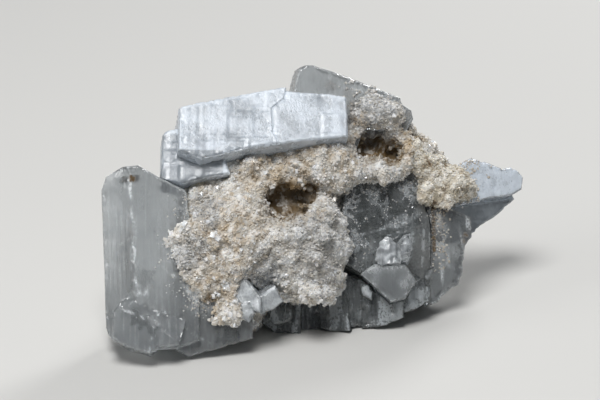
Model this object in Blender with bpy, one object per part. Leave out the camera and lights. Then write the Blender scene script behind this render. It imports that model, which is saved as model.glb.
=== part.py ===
# Barite specimen: tabular crystals standing in a lumpy matrix under a crust of small crystals.
#
# The broad crystal faces lean back together, so the specimen is laid out in a leaning frame in
# millimetres: x to the right, u up the lean, w straight out of the faces. A finished piece is
# turned to world metres, +Z up, where it is trimmed at the ground plane Z = 0 that it stands on.

import math
import random

import bmesh
import bpy
import numpy as np
from mathutils import Matrix, Vector, noise
from mathutils.bvhtree import BVHTree

MM = 0.001
LEAN = 22.0                     # degrees that the broad faces lean back from upright

GAP = 0.3                       # mm left between a piece and the seat cut for it
MERGE = 0.0005                  # mm, points closer than this are one point
WORN_RIM = 0.4                  # mm, the narrow bevel along a crystal's edges

MELT = 2.4                      # mm, voxel at which the matrix's lumps are melted together
MATRIX_ROUGHNESS = 1.4          # mm, how far its surface rises and falls
CRUST_MELT = 1.6
CRUST_ROUGHNESS = 0.9
FACETS_KEPT = 0.62              # share of the melted surface's facets that is kept
HOLLOW_RAGGED = 0.45            # share of a hollow's radius by which its wall wanders

GRAIN_COUNT = 56                # small blocky crystals standing on the matrix
GRAIN_SMALLEST = 2.2            # mm
GRAIN_LARGEST = 4.4
GRAIN_PROUD = 0.2               # share of its size by which a grain's middle stands out
GRAIN_SEED = 11
GRAIN_TRIES = 2000              # places tried at most, as a grain needs room round it


def clear_scene():
    for leftover in list(bpy.data.objects):
        bpy.data.objects.remove(leftover, do_unlink=True)


def mesh_from(bm, name):
    bmesh.ops.recalc_face_normals(bm, faces=bm.faces)
    mesh = bpy.data.meshes.new(name)
    bm.to_mesh(mesh)
    bm.free()
    return mesh


def evaluated_mesh(item):
    """The mesh an object's modifiers make, once the object itself is removed."""
    bpy.context.view_layer.update()
    evaluated = item.evaluated_get(bpy.context.evaluated_depsgraph_get())
    mesh = bpy.data.meshes.new_from_object(evaluated)
    bpy.data.objects.remove(item)
    return mesh


def linked(name, mesh):
    item = bpy.data.objects.new(name, mesh)
    bpy.context.collection.objects.link(item)
    return item


def combined(first, second, operation):
    """The UNION or DIFFERENCE of two closed meshes."""
    body = linked("body", first)
    tool = linked("tool", second)
    boolean = body.modifiers.new("combine", "BOOLEAN")
    boolean.operation = operation
    boolean.solver = "EXACT"
    boolean.object = tool
    result = evaluated_mesh(body)
    bpy.data.objects.remove(tool)
    return result


def islands_of(bm):
    unseen = set(bm.faces)
    islands = []
    while unseen:
        front = [unseen.pop()]
        island = []
        while front:
            face = front.pop()
            island.append(face)
            around = {other for edge in face.edges for other in edge.link_faces}
            for other in around & unseen:
                unseen.remove(other)
                front.append(other)
        islands.append(island)
    return islands


def main_body(mesh, merge=MERGE):
    """The largest connected piece of a mesh, with slivers and doubled points taken out."""
    bm = bmesh.new()
    bm.from_mesh(mesh)
    bmesh.ops.remove_doubles(bm, verts=bm.verts, dist=merge)
    bmesh.ops.dissolve_degenerate(bm, dist=merge, edges=bm.edges)
    bmesh.ops.triangulate(bm, faces=bm.faces)
    islands = islands_of(bm)
    islands.sort(key=lambda island: sum(face.calc_area() for face in island))
    for island in islands[:-1]:
        bmesh.ops.delete(bm, geom=island, context="FACES")
    return mesh_from(bm, mesh.name)


def fused(meshes):
    """Crystals grown through each other, as one body."""
    result = meshes[0]
    for mesh in meshes[1:]:
        result = combined(result, mesh, "UNION")
    return main_body(result)


def swollen(source):
    """A copy with every face moved out by the gap, which cuts a seat that clears the piece."""
    bm = bmesh.new()
    bm.from_mesh(source)
    bm.normal_update()
    moves = []
    for vert in bm.verts:
        normals = np.array([face.normal for face in vert.link_faces])
        offsets = np.full(len(normals), GAP)
        moves.append(np.linalg.lstsq(normals, offsets, rcond=0.2)[0])
    for vert, move in zip(bm.verts, moves):
        vert.co += Vector(move)
    return mesh_from(bm, "cutter")


def corners(mesh):
    points = np.array([vert.co for vert in mesh.vertices])
    return points.min(axis=0), points.max(axis=0)


def boxes_meet(first, second):
    low, high = corners(first)
    other_low, other_high = corners(second)
    return bool(np.all(low < other_high) and np.all(other_low < high))


def seated(mesh, cutters):
    """A piece cut back to clear the neighbours that it grew against."""
    for cutter in cutters:
        if boxes_meet(mesh, cutter):
            mesh = combined(mesh, cutter, "DIFFERENCE")
    return main_body(mesh)


def place(at, yaw=0.0, pitch=0.0):
    """Where a crystal's front face lies: yaw turns it to the right, pitch tips it upwards."""
    return (Matrix.Translation(at)
            @ Matrix.Rotation(math.radians(yaw), 4, "Y")
            @ Matrix.Rotation(math.radians(-pitch), 4, "X"))


def plate(outline, thickness, where, rim=WORN_RIM, facets=()):
    """A tabular crystal in leaning millimetres, its outline drawn on its front face.

    A facet is a line on that face, from one point to another, and a slope in degrees. The face
    drops away at that slope on the left of the line.
    """
    bm = bmesh.new()
    front = bm.faces.new([bm.verts.new((a, b, 0.0)) for a, b in outline])
    grown = bmesh.ops.extrude_face_region(bm, geom=[front])
    back = [item for item in grown["geom"] if isinstance(item, bmesh.types.BMVert)]
    bmesh.ops.translate(bm, verts=back, vec=(0.0, 0.0, -thickness))
    bmesh.ops.recalc_face_normals(bm, faces=bm.faces)
    if rim > 0.0:
        level = [edge for edge in bm.edges
                 if abs(edge.verts[0].co.z - edge.verts[1].co.z) < 0.01]
        bmesh.ops.bevel(bm, geom=level, offset=rim, segments=1, affect="EDGES", clamp_overlap=True)
    for start, end, slope in facets:
        run = Vector((end[0] - start[0], end[1] - start[1], 0.0)).normalized()
        left = Vector((-run.y, run.x, 0.0))
        normal = left * math.sin(math.radians(slope))
        normal.z = math.cos(math.radians(slope))
        cut = bmesh.ops.bisect_plane(bm, geom=bm.verts[:] + bm.edges[:] + bm.faces[:], dist=0.0001,
                                     plane_co=(start[0], start[1], 0.0), plane_no=normal,
                                     clear_outer=True)
        open_rim = [item for item in cut["geom_cut"] if isinstance(item, bmesh.types.BMEdge)]
        bmesh.ops.contextual_create(bm, geom=open_rim)
    bmesh.ops.transform(bm, matrix=where, verts=bm.verts)
    bmesh.ops.triangulate(bm, faces=bm.faces)
    return mesh_from(bm, "plate")


def hollow_tool(at, radii):
    """A closed, uneven egg, which leaves a ragged hollow where it is cut out."""
    bm = bmesh.new()
    bmesh.ops.create_icosphere(bm, subdivisions=2, radius=1.0)
    for vert in bm.verts:
        vert.co *= 1.0 + HOLLOW_RAGGED * noise.noise(vert.co * 1.7 + Vector(at))
    shape = Matrix.Translation(at) @ Matrix.Diagonal((*radii, 1.0))
    bmesh.ops.transform(bm, matrix=shape, verts=bm.verts)
    return mesh_from(bm, "hollow")


def lumpy(lumps, voxel, roughness):
    """Egg-shaped lumps melted into one body whose surface rises and falls."""
    bm = bmesh.new()
    for at, radii in lumps:
        shape = Matrix.Translation(at) @ Matrix.Diagonal((*radii, 1.0))
        bmesh.ops.create_icosphere(bm, subdivisions=3, radius=1.0, matrix=shape)
    body = linked("lumps", mesh_from(bm, "lumps"))
    melt = body.modifiers.new("melt", "REMESH")
    melt.mode = "VOXEL"
    melt.voxel_size = voxel
    mesh = evaluated_mesh(body)
    rises = [noise.noise(vert.co * 0.12) + 0.8 * noise.noise(vert.co * 0.35)
             for vert in mesh.vertices]
    for vert, rise in zip(mesh.vertices, rises):
        vert.co += vert.normal * rise * roughness
    rough = linked("rough", mesh)
    thin_out = rough.modifiers.new("thin_out", "DECIMATE")
    thin_out.ratio = FACETS_KEPT
    return evaluated_mesh(rough)


def random_turn(dice):
    axis = Vector([dice.uniform(-1.0, 1.0) for _ in range(3)]).normalized()
    return Matrix.Rotation(dice.uniform(0.0, math.tau), 4, axis)


def grain(size, where):
    """A small flattened crystal with chiselled ends."""
    half = size / 2.0
    outline = [(-half, 0.0), (-half * 0.6, -half * 0.7), (half * 0.6, -half * 0.7),
               (half, 0.0), (half * 0.6, half * 0.7), (-half * 0.6, half * 0.7)]
    thickness = size * 0.5
    return plate(outline, thickness, where @ Matrix.Translation((0.0, 0.0, thickness / 2.0)), rim=0.0)


def with_grains(mesh, count, crystals):
    """Small crystals at seeded places on a body, clear of its big crystals, grown into one."""
    dice = random.Random(GRAIN_SEED)
    shells = [BVHTree.FromPolygons([vert.co for vert in crystal.vertices],
                                   [face.vertices for face in crystal.polygons])
              for crystal in crystals]
    mesh.calc_loop_triangles()
    areas = [triangle.area for triangle in mesh.loop_triangles]
    taken = []
    result = mesh
    for _ in range(GRAIN_TRIES):
        if len(taken) == count:
            break
        triangle = dice.choices(mesh.loop_triangles, weights=areas)[0]
        size = dice.uniform(GRAIN_SMALLEST, GRAIN_LARGEST)
        turn = random_turn(dice)
        at = sum((mesh.vertices[index].co for index in triangle.vertices), Vector()) / 3.0
        if any((at - other).length < reach + 0.5 * size for other, reach in taken):
            continue
        at_middle = at + Vector(triangle.normal) * size * GRAIN_PROUD
        if any(shell.find_nearest(at_middle, 0.75 * size)[0] for shell in shells):
            continue
        taken.append((at, 0.5 * size))
        result = combined(result, grain(size, Matrix.Translation(at_middle) @ turn), "UNION")
    return main_body(result)


def left_slab():
    """The broad grey slab on the left, with the low block and the foot grown into its base."""
    slab = plate([(-6, 13), (-5, 16), (-1.5, 18.2), (2, 18.6), (7, 15.7), (12.5, 13), (14, 0),
                  (15.5, -11), (15.5, -20), (10.5, -22), (4.5, -22), (-2, -20.5), (-4.5, -19),
                  (-5, -17.5)],
                 12.0, place((-39.8, 24.8, 3.0), yaw=4), facets=[((2.5, -22), (0, 18), 34)])
    block = plate([(-3.5, 7.5), (8, 1), (6.5, -5.5), (2, -6), (0, -7.5), (-5, -6), (-8.5, -4),
                   (-8, 2)],
                  8.0, place((-35.1, 9.5, 4.5), yaw=2, pitch=8), facets=[((-6.5, 2.5), (5, -4), 23)])
    foot = plate([(-9, 6.5), (9, 6), (9, -2.5), (0, -5), (-5.5, -6.5), (-8, -5), (-8.5, -3.5)],
                 11.0, place((-21.5, 7.5, 0.0), yaw=8, pitch=-5))
    return [slab, block, foot]


def upper_slab():
    """The bright slab along the top: a main plate, a thinner one at its right, a step at its left."""
    main = plate([(-12.5, 5.6), (-8.5, 6.8), (1.5, 8.8), (12, 11), (11.5, 8), (8.5, 5.5),
                  (8.5, 0), (9.5, -3), (4, -4), (-8, -7), (-13, -5)],
                 10.5, place((-16.5, 51.3, -4.5), yaw=8, pitch=24))
    right = plate([(-11, 2.5), (-2.5, 7.5), (-1, 7.2), (7, 6.8), (11, 6), (10.8, -4), (0, -5),
                   (-11.5, -7)],
                  10.0, place((-2.3, 53.6, -7.8), yaw=8, pitch=24))
    step = plate([(-5.5, -6.5), (-5, 4), (-4.5, 4.8), (-3, 5.5), (3.5, 6), (9, -1.5), (10, -5),
                  (4, -6), (-1, -7.5)],
                 9.0, place((-27.8, 46.4, -4.5), yaw=6, pitch=18))
    return [main, right, step]


def back_crystal():
    """The tall grey crystal that stands up behind the bright slab."""
    return [plate([(-13, 3.5), (-12, 8), (-11.5, 9.2), (-10, 10.2), (-8, 10.2), (-6.5, 9.5),
                  (0, 7.4), (4.7, 5.5), (11.5, 2.8), (12, 1.2), (14, 0), (14.5, -2), (13, -4.5),
                  (3, -4.5), (-1, -16), (-10, -18)],
                 12.0, place((9.1, 56.1, -15.0), yaw=6))]


def grey_crystal():
    """The dark glassy crystal on the right, with a ridge across it and a slanting right side."""
    ridge = ((10.5, 4), (-5.5, -5.5), 30)
    right_side = ((6.7, 5), (5.8, -15), 32)
    return [plate([(-9, 11.5), (-2.5, 15), (8, 14.5), (9.5, 8), (11, 3), (11, -6.5), (8.5, -14),
                  (-1, -15), (-3.5, -9.5), (-9.5, -6.6), (-10.5, -5)],
                 13.0, place((17.0, 27.8, -15.0), yaw=8, pitch=12), facets=[ridge, right_side])]


def right_slab():
    """The upright slab at the right, behind the dark crystal."""
    return [plate([(-4.5, 10), (1, 9.5), (5.8, 7.5), (6, 3), (4.4, 1), (3.8, -5.5), (2.8, -8),
                  (0, -9.5), (-2, -12), (-5, -13), (-5.5, -1)],
                 9.0, place((31.3, 24.3, -21.0), yaw=12))]


def right_point():
    """The pale plate that ends in the right-hand point, with a thinner one grown under it."""
    point = plate([(-11.5, -3.5), (-9.5, 2.5), (-4, 5), (1.5, 7.7), (4.5, 7), (9.5, 5.2),
                   (12, 5.6), (14, 4.5), (14.8, 3), (14, 0.2), (11, -1.2), (5, -2), (-4.5, -4)],
                  8.0, place((37.0, 38.1, -28.0), yaw=25, pitch=14))
    under = plate([(-11, 3), (-4, 5), (12, 7), (12.5, 3.8), (6.5, -0.5), (2.5, -2.5), (1, -4),
                   (-4, -5.5), (-10.5, -4)],
                  7.0, place((37.1, 32.3, -29.5), yaw=25, pitch=14))
    return [point, under]


def front_block():
    """The light grey block that juts out at the lower right, one corner to the left."""
    lower_left = ((0.9, -4.2), (-5.0, 2.2), 14)
    return [plate([(-6.5, 1.4), (-5.4, 2.3), (-3.2, 3.6), (3.6, 3.4), (6.2, -0.3), (3.2, -4.5),
                  (0.3, -5.1)],
                 8.0, place((18.0, 17.8, -11.5), yaw=5, pitch=4), facets=[lower_left])]


def pale_cap():
    """The broken whitish crystals just above the front block: a shell, a tall shard, a low one."""
    left_side = ((-3.3, -0.9), (-1.4, 2.4), 32)
    right_side = ((-0.7, 2.0), (1.2, -1.4), 35)
    shell = plate([(-4, -1.8), (-3.5, 0.4), (-3.2, 1.8), (-2.3, 2.8), (-1.7, 3.7), (-0.5, 3.4),
                   (0.9, 2.2), (1.9, 0.6), (2.3, -1.6), (1.6, -3), (-3.5, -2.8)],
                  6.0, place((18.7, 24.0, -12.0), yaw=-4, pitch=16), facets=[left_side, right_side])
    tall = plate([(0.2, -0.5), (1.6, 2.6), (3, 4), (4.5, 4.4), (5, 3), (4.8, 0.8), (4, -1.4),
                  (0.5, -2)],
                 6.0, place((18.7, 24.0, -13.1), yaw=14, pitch=8))
    low = plate([(0.8, -3.2), (0.2, -1), (3.9, 0.2), (3.9, -1.2), (2.9, -3.2)],
                6.0, place((18.7, 24.0, -12.7), yaw=-8, pitch=-6))
    return [shell, tall, low]


def base_crystals():
    """The row of dark glassy blocks along the bottom, which carries the front of the specimen."""
    return [
        plate([(-4, -1.5), (-3, 2), (1, 3.5), (5, 3), (5, -4), (-1, -4), (-2.5, -2.5)],
              8.0, place((-7.0, 9.5, -14.0), yaw=-8)),
        plate([(-4.5, 3.5), (3.5, 5), (4.5, -5), (-4.5, -5)],
              9.0, place((0.0, 10.3, -15.5), yaw=10)),
        plate([(-4, 2.5), (0.5, 5.5), (3, 6), (4, -6), (-3, -6)],
              9.0, place((5.2, 12.2, -14.5), yaw=-14, pitch=6)),
        plate([(-3, 6.5), (2.5, 4.5), (3.5, -6), (-3, -6)],
              9.0, place((10.5, 13.0, -15.5), yaw=16)),
        plate([(-5, 4), (4.5, 1.5), (4.5, -2.5), (0.5, -4.5), (-5, -5)],
              9.0, place((16.6, 11.7, -14.5), yaw=-6, pitch=-4)),
        plate([(-4.5, 2), (-3.5, 5.5), (1.5, 6), (5, 2.5), (4.5, -0.5), (1, -2.5), (-4.5, -3)],
              9.0, place((23.0, 13.2, -15.5), yaw=18, pitch=6)),
        plate([(-3.2, -2), (-2, 1.6), (1.2, 2.4), (2.6, 0.2), (2.2, -2.4), (-1.5, -3.2)],
              8.0, place((-6.6, 11.0, -9.5), yaw=-12, pitch=6)),
        plate([(-1.4, 1.2), (0.4, 1.6), (1.6, -0.4), (1, -2.2), (-1, -1)],
              7.0, place((12.9, 15.4, -13.0), yaw=8, pitch=10)),
    ]


def front_wedge():
    """The pale wedge low in the middle, with the striated block and a small one against it."""
    wedge = plate([(-4.5, 0.5), (-3, 3), (-1.5, 3.5), (2, -1), (2.2, -3.5), (2.0, -4.4), (-1.5, -3),
                   (-4.5, -1)],
                  6.5, place((-12.9, 15.2, 0.6), yaw=-10, pitch=6))
    striated = plate([(-3, 0.5), (1, 3), (3, -0.5), (0.5, -2.5), (-1.5, -3)],
                     6.0, place((-8.7, 13.8, -0.9), yaw=14, pitch=-6))
    under = plate([(-1.4, 2.4), (0.6, 2.9), (1.6, 0.4), (0.4, -1.8), (-1.2, -1)],
                  6.0, place((-14.0, 10.4, 1.0), yaw=-8, pitch=-6))
    return [wedge, striated, under]


def cream_crust():
    """The cream lumps over the root of the right-hand point."""
    lumps = [
        ((27.8, 40.8, -21.0), (3.2, 2.8, 3.5)),
        ((31.8, 38.9, -21.5), (4.0, 3.3, 4.0)),
        ((29.5, 35.9, -20.5), (3.4, 2.4, 3.0)),
        ((35.4, 38.2, -24.5), (3.6, 3.0, 3.5)),
        ((26.2, 37.0, -19.0), (2.2, 2.8, 3.0)),
        ((33.6, 41.8, -25.5), (3.6, 1.9, 3.5)),
        ((25.2, 43.2, -20.0), (2.8, 2.6, 3.2)),
        ((22.6, 45.7, -19.5), (2.6, 2.5, 3.2)),
        ((23.6, 48.6, -20.5), (2.2, 2.2, 3.0)),
        ((28.6, 44.3, -22.5), (2.2, 1.8, 3.0)),
    ]
    return [main_body(lumpy(lumps, CRUST_MELT, CRUST_ROUGHNESS))]


def matrix_druse(cutters):
    """The matrix that holds the crystals, with its lumps, hollows and small standing crystals."""
    core = [
        ((-2.0, 22.5, -28.0), (31.0, 24.0, 10.5)),
        ((-16.0, 46.0, -21.5), (13.0, 9.0, 8.0)),
        ((14.0, 47.0, -28.0), (11.0, 7.5, 6.0)),
        ((9.0, 32.0, -34.0), (14.0, 15.0, 8.0)),
        ((-20.0, 20.0, -28.0), (12.0, 13.0, 9.0)),
        ((-19.0, 14.0, -15.0), (10.5, 10.0, 9.0)),
    ]
    front = [
        ((-25.5, 27.5, -5.6), (5.6, 8.5, 9.8)),
        ((-23.5, 17.5, -5.8), (6.0, 6.0, 9.3)),
        ((-16.8, 26.8, -7.0), (9.5, 11.2, 9.5)),
        ((-4.5, 26.8, -9.5), (9.5, 10.1, 9.5)),
        ((2.8, 24.5, -13.0), (6.0, 11.3, 8.5)),
        ((-2.3, 17.3, -12.5), (10.5, 4.4, 9.0)),
        ((-13.6, 39.8, -14.0), (12.4, 7.4, 9.0)),
        ((-24.0, 36.5, -11.0), (5.5, 5.0, 6.5)),
        ((-28.6, 25.5, -1.0), (4.2, 7.0, 4.6)),
        ((2.3, 44.2, -18.5), (11.4, 7.4, 9.5)),
        ((-20.0, 11.6, -6.0), (5.6, 6.4, 8.2)),
        ((-17.5, 16.5, -7.0), (6.0, 6.0, 8.2)),
    ]
    right_crust = [
        ((14.6, 55.6, -19.0), (7.7, 5.2, 6.3)),
        ((9.6, 48.5, -20.0), (2.8, 7.0, 7.5)),
        ((20.6, 49.5, -21.0), (3.2, 7.0, 7.0)),
        ((15.0, 43.3, -20.5), (9.0, 3.4, 8.0)),
        ((23.6, 47.6, -23.0), (3.9, 3.4, 5.0)),
        ((28.6, 43.8, -26.0), (3.2, 3.0, 4.0)),
        ((20.0, 44.0, -28.0), (10.0, 6.0, 7.0)),
    ]
    hollows = [
        ((-5.2, 35.4, -4.0), (5.6, 4.6, 8.5)),
        ((-0.8, 37.4, -6.0), (3.0, 2.2, 7.5)),
        ((14.2, 48.4, -12.0), (4.0, 4.2, 8.5)),
        ((18.2, 46.8, -13.0), (3.4, 3.2, 8.0)),
        ((-9.3, 19.4, 1.5), (4.8, 3.0, 4.5)),
        ((9.6, 20.0, -12.0), (2.6, 1.3, 9.0)),
    ]
    body = lumpy(core + front + right_crust, MELT, MATRIX_ROUGHNESS)
    for at, radii in hollows:
        body = combined(body, hollow_tool(at, radii), "DIFFERENCE")
    return with_grains(seated(body, cutters), GRAIN_COUNT, cutters)


def trimmed_at_ground(mesh):
    """A piece in world metres with everything under the ground plane cut off flat."""
    bm = bmesh.new()
    bmesh.ops.create_cube(bm, size=1.0, matrix=Matrix.Translation((0.0, 0.0, -0.5)))
    return combined(mesh, mesh_from(bm, "ground"), "DIFFERENCE")


def to_world(mesh):
    up = Vector((0.0, math.sin(math.radians(LEAN)), math.cos(math.radians(LEAN))))
    out = Vector((0.0, -up.z, up.y))
    turn = Matrix(((1.0, 0.0, 0.0), up, out)).transposed().to_4x4()
    mesh.transform(Matrix.Scale(MM, 4) @ turn)
    return mesh


def barite(name, colour, roughness):
    material = bpy.data.materials.new(name)
    material.use_nodes = True
    shader = material.node_tree.nodes["Principled BSDF"]
    shader.inputs["Base Color"].default_value = (*colour, 1.0)
    shader.inputs["Roughness"].default_value = roughness
    shader.inputs["Metallic"].default_value = 0.0
    material.diffuse_color = (*colour, 1.0)
    return material


def finished(name, mesh, material):
    world = to_world(mesh)
    if min(vert.co.z for vert in world.vertices) < 0.0:
        world = trimmed_at_ground(world)
    world = main_body(world, merge=MERGE * MM)
    world.name = name
    world.materials.clear()
    world.materials.append(material)
    return linked(name, world)


def stand_centred(pieces):
    """Moves the pieces together until the middle of their box is over the origin."""
    points = np.array([vert.co for piece in pieces for vert in piece.data.vertices])
    middle = (points.min(axis=0) + points.max(axis=0)) / 2.0
    for piece in pieces:
        piece.data.transform(Matrix.Translation((-middle[0], -middle[1], 0.0)))


def build():
    clear_scene()
    clear_grey = barite("clear_grey_barite", (0.28, 0.29, 0.30), 0.35)
    frosted = barite("frosted_white_barite", (0.62, 0.66, 0.72), 0.45)
    dark = barite("dark_glassy_barite", (0.09, 0.095, 0.10), 0.30)
    pale = barite("pale_broken_barite", (0.50, 0.53, 0.55), 0.50)
    cream = barite("cream_crust_barite", (0.62, 0.52, 0.38), 0.80)
    sugary = barite("sugary_druse_barite", (0.45, 0.39, 0.31), 0.80)

    # Each crystal clears the ones named before it, and the matrix clears them all.
    order = [
        ("left_slab", left_slab(), clear_grey),
        ("upper_slab", upper_slab(), frosted),
        ("back_crystal", back_crystal(), clear_grey),
        ("grey_crystal", grey_crystal(), dark),
        ("right_slab", right_slab(), clear_grey),
        ("right_point", right_point(), frosted),
        ("front_block", front_block(), clear_grey),
        ("pale_cap", pale_cap(), pale),
        ("base_crystals", base_crystals(), dark),
        ("front_wedge", front_wedge(), pale),
        ("cream_crust", cream_crust(), cream),
    ]
    cutters = []
    pieces = []
    for name, grown, material in order:
        seats = [swollen(crystal) for crystal in grown]
        pieces.append(finished(name, seated(fused(grown), cutters), material))
        cutters += seats
    pieces.append(finished("matrix_druse", matrix_druse(cutters), sugary))
    stand_centred(pieces)


build()
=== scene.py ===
# Barite specimen: tabular crystals standing in a lumpy matrix under a sugary crust.
#
# The broad crystal faces lean back together, so places on them are given in a leaning frame in
# millimetres: x to the right, u up the lean, w straight out of the faces, towards the viewer.

import math
import random

import bmesh
import bpy
import numpy as np
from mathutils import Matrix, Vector, kdtree, noise


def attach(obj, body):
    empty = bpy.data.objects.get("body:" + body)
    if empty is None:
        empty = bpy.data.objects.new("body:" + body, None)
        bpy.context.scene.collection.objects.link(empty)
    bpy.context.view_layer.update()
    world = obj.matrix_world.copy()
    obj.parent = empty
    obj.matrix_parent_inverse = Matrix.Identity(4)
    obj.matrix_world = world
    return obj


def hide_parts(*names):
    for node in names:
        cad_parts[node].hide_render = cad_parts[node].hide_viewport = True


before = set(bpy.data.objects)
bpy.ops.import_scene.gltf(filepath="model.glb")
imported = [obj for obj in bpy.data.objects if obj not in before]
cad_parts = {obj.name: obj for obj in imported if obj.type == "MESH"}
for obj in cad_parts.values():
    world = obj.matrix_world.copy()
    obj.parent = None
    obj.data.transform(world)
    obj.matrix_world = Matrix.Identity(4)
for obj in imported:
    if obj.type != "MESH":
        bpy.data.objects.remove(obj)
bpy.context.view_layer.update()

# The stand: a pale matt floor, a large soft lamp overhead in front, a weaker one at the left and
# a small one behind, and a long lens that looks straight at the broad faces.

MM = 0.001
LEAN = math.radians(22.0)
RIGHT = Vector((1.0, 0.0, 0.0))
UP = Vector((0.0, math.sin(LEAN), math.cos(LEAN)))
OUT = Vector((0.0, -math.cos(LEAN), math.sin(LEAN)))
FOOT = Vector((-1.67, -24.82, 0.0))  # mm, where the leaning frame's origin stands

VIEW_MIDDLE = (-2.26, 35.75, -15.0)  # leaning mm
VIEW_DISTANCE = 600.0           # mm
FOCAL_LENGTH = 159.1            # mm, on a sensor as wide as this
SENSOR_WIDTH = 36.0
FLOOR_HALF = 2.5                # metres
FLOOR_COLOUR = "c8c7c4"
FLOOR_ROUGHNESS = 0.8
SKY_COLOUR = "dfe5ec"
SKY_STRENGTH = 0.17
LIT_MIDDLE = (0.0, 0.0, 0.03)   # metres, where the lamps point


def spot(x, u, w):
    """A place in the leaning frame as a point in metres."""
    return (FOOT + RIGHT * x + UP * u + OUT * w) * MM


def linear(colour):
    """An sRGB hex colour as linear red, green, blue and alpha."""
    parts = [int(colour[index:index + 2], 16) / 255.0 for index in (0, 2, 4)]
    parts = [part / 12.92 if part <= 0.04045 else ((part + 0.055) / 1.055) ** 2.4 for part in parts]
    return (*parts, 1.0)


def add(tree, kind, inputs=None, **settings):
    """Adds a node; an input is given by its name or number, as a value or as a socket to link."""
    made = tree.nodes.new(kind)
    for name, value in settings.items():
        setattr(made, name, value)
    for key, value in (inputs or {}).items():
        if isinstance(value, bpy.types.NodeSocket):
            tree.links.new(value, made.inputs[key])
        else:
            made.inputs[key].default_value = value
    return made


def aimed(name, data, place, target):
    """Puts a lamp or the camera at a place, turned towards a target."""
    item = bpy.data.objects.new(name, data)
    bpy.context.scene.collection.objects.link(item)
    item.location = place
    item.rotation_euler = (Vector(target) - item.location).to_track_quat("-Z", "Y").to_euler()
    return item


def soft_lamp(name, size, watts, place):
    """A round soft lamp that points at the specimen."""
    data = bpy.data.lights.new(name, "AREA")
    data.shape = "DISK"
    data.size = size
    data.energy = watts
    return aimed(name, data, place, LIT_MIDDLE)


soft_lamp("lamp_overhead", 0.40, 5.9, (-0.12, -0.30, 0.75))
soft_lamp("lamp_left", 0.35, 1.5, (-0.70, -0.25, 0.30))
soft_lamp("lamp_behind", 0.25, 3.0, (0.30, 0.60, 0.45))

world = bpy.data.worlds.new("studio")
world.use_nodes = True
sky = world.node_tree.nodes["Background"]
sky.inputs["Color"].default_value = linear(SKY_COLOUR)
sky.inputs["Strength"].default_value = SKY_STRENGTH
bpy.context.scene.world = world
bpy.context.scene.view_settings.view_transform = "Standard"

lens = bpy.data.cameras.new("camera")
lens.sensor_width = SENSOR_WIDTH
lens.lens = FOCAL_LENGTH
middle = spot(*VIEW_MIDDLE)
bpy.context.scene.camera = aimed("camera", lens, middle + OUT * VIEW_DISTANCE * MM, middle)

floor_mesh = bpy.data.meshes.new("floor")
floor_mesh.from_pydata([(-FLOOR_HALF, -FLOOR_HALF, 0.0), (FLOOR_HALF, -FLOOR_HALF, 0.0),
                        (FLOOR_HALF, FLOOR_HALF, 0.0), (-FLOOR_HALF, FLOOR_HALF, 0.0)],
                       [], [(0, 1, 2, 3)])
floor = bpy.data.objects.new("floor", floor_mesh)
bpy.context.scene.collection.objects.link(floor)
floor_paint = bpy.data.materials.new("matt_floor")
floor_paint.use_nodes = True
floor_shader = floor_paint.node_tree.nodes["Principled BSDF"]
floor_shader.inputs["Base Color"].default_value = linear(FLOOR_COLOUR)
floor_shader.inputs["Roughness"].default_value = FLOOR_ROUGHNESS
floor_mesh.materials.append(floor_paint)

# The left slab: one broad tabular crystal of grey, see-through barite, grown out of the matrix,
# with a block and a foot grown into its base. It has a ridge down its face with a torn white
# highlight painted along it, two small painted glints low down, fine growth lines, a small brown
# pit near its top, and crumbs of the crust at its right.

GRID = 0.36                     # mm, between the lines that a crystal's flats are cut along
MERGE = 0.01                    # mm, within which corners are one
CUT_SLACK = 0.0001              # mm, within which a point lies on a cut
FLAT = math.radians(0.6)        # below this, two faces are one flat
SHARP = math.radians(28.0)      # above this, they meet in a sharp edge
SEED_STEPS = (7.31, 3.77, 5.13)  # how far one more seed shifts the noise, in lumps
TEAR = 1.3                      # mm, the size of the notches in a patch's torn edge
TERRACES = 26
TERRACE_LONGEST = 12.0          # mm
TERRACE_EDGE = 0.3              # mm, the width of the slope at a terrace's side
IOR_BARITE = 1.64
# The grey of smoky places in the crystals, also used to paint shade on them.
SMOKE_AND_SHADE_GREY = "4f5557"
IRON_BROWN = "5d4c35"
MILK_DEPTH = 2.0                # mm, how far light wanders in the milky crystals
CLOUD_ROUGHNESS = 0.15          # how much duller a cloudy place is than the clearest
THROUGH_FROST = 0.04            # the share of light that still passes a fully frosted place
SPARKLE = 0.12                  # mm, the height of the frost's grains
RIDGE_FOOT = (-37.3, 2.8)       # the ridge on the slab's face, in leaning millimetres
RIDGE_TOP = (-39.9, 43.0)
# The white streak on the ridge is a painted highlight.
RIDGE_HIGHLIGHT_FOOT = 14.0              # leaning mm, where the white streak on the ridge begins
CRUST_LEFT = -33.0              # leaning mm, where the crumbs begin and where they are thick
THICK_CRUST_LEFT = -29.0
PIT = (-39.2, 40.5)             # leaning mm
PIT_EDGE = 0.5                  # mm


def noise_at(points, size, seed=0.0):
    """Smooth noise, from -1 to 1, whose lumps are about size millimetres across."""
    sizes = size if isinstance(size, tuple) else (size, size, size)
    shift = Vector([seed * step for step in SEED_STEPS])
    return np.array([noise.noise(Vector((x / sizes[0], u / sizes[1], w / sizes[2])) + shift)
                     for x, u, w in points])


def smooth(share):
    """Eases a share in and out between 0 and 1."""
    share = np.clip(share, 0.0, 1.0)
    return share * share * (3.0 - 2.0 * share)


def leaning(positions):
    """Points in metres as x, u and w in leaning millimetres."""
    axes = np.array([RIGHT, UP, OUT])
    return (np.array(positions) / MM - np.array(FOOT)) @ axes.T


def copied(node):
    """A CAD node's crystal as flat faces that share their corners."""
    bm = bmesh.new()
    bm.from_mesh(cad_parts[node].data)
    bmesh.ops.remove_doubles(bm, verts=bm.verts, dist=MERGE * MM)
    bmesh.ops.dissolve_limit(bm, angle_limit=FLAT, verts=bm.verts, edges=bm.edges)
    return bm


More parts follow.
